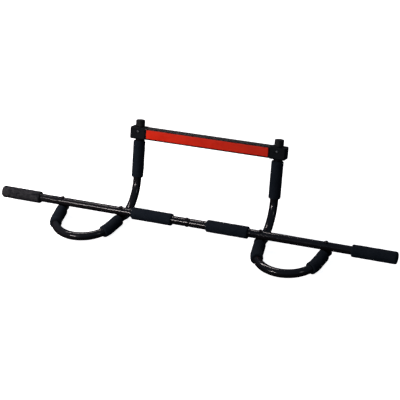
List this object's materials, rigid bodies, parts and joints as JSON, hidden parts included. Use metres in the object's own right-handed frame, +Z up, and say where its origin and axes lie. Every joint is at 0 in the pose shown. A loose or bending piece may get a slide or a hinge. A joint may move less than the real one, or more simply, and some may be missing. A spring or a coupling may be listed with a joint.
{
  "type": "doorway pull-up bar",
  "caption": "Doorway pull-up bar: long straight bar, looped side handles with foam sleeves, bent uprights and a flat cross bar that hooks over door trim.",
  "frame": {"origin": "On the main bar's axis at its middle, at the seam between its halves.", "axes": "+X along the main bar to the right half, +Y from the user towards the cross bar behind the wall, +Z up, square to the plane of the side handles."},
  "size_m": [1.1, 0.3068, 0.232],
  "materials": {
    "paint": "gloss black paint on steel tube",
    "foam": "matt closed-cell foam",
    "plastic": "fine moulded grain",
    "dark_steel": "black oxide steel",
    "bright_steel": "zinc-plated steel",
    "strip_red": "glossy plain red strip"
  },
  "bodies": {
    "root": {"bar_end_plug_left": "plastic", "bar_end_plug_right": "plastic", "bar_half_left": "paint", "bar_half_right": "paint", "bar_joint_bolt": "dark_steel", "bar_joint_nut": "dark_steel", "bracket_bolts": "bright_steel", "bracket_left": "plastic", "bracket_nuts": "bright_steel", "bracket_right": "plastic", "centre_grip_left": "foam", "centre_grip_right": "foam", "cross_tube": "paint", "end_grip_left": "foam", "end_grip_right": "foam", "frame_bolts_inner": "dark_steel", "frame_bolts_outer": "dark_steel", "frame_nuts": "dark_steel", "frame_washers": "dark_steel", "front_strip": "strip_red", "handle_grip_inner_left": "foam", "handle_grip_inner_right": "foam", "handle_grip_outer_left": "foam", "handle_grip_outer_right": "foam", "handle_tube_left": "paint", "handle_tube_right": "paint", "saddle_washers": "dark_steel", "upright_cap_left": "plastic", "upright_cap_right": "plastic", "upright_grip_left": "foam", "upright_grip_right": "foam", "upright_tube_left": "paint", "upright_tube_right": "paint"}
  },
  "joints": []
}
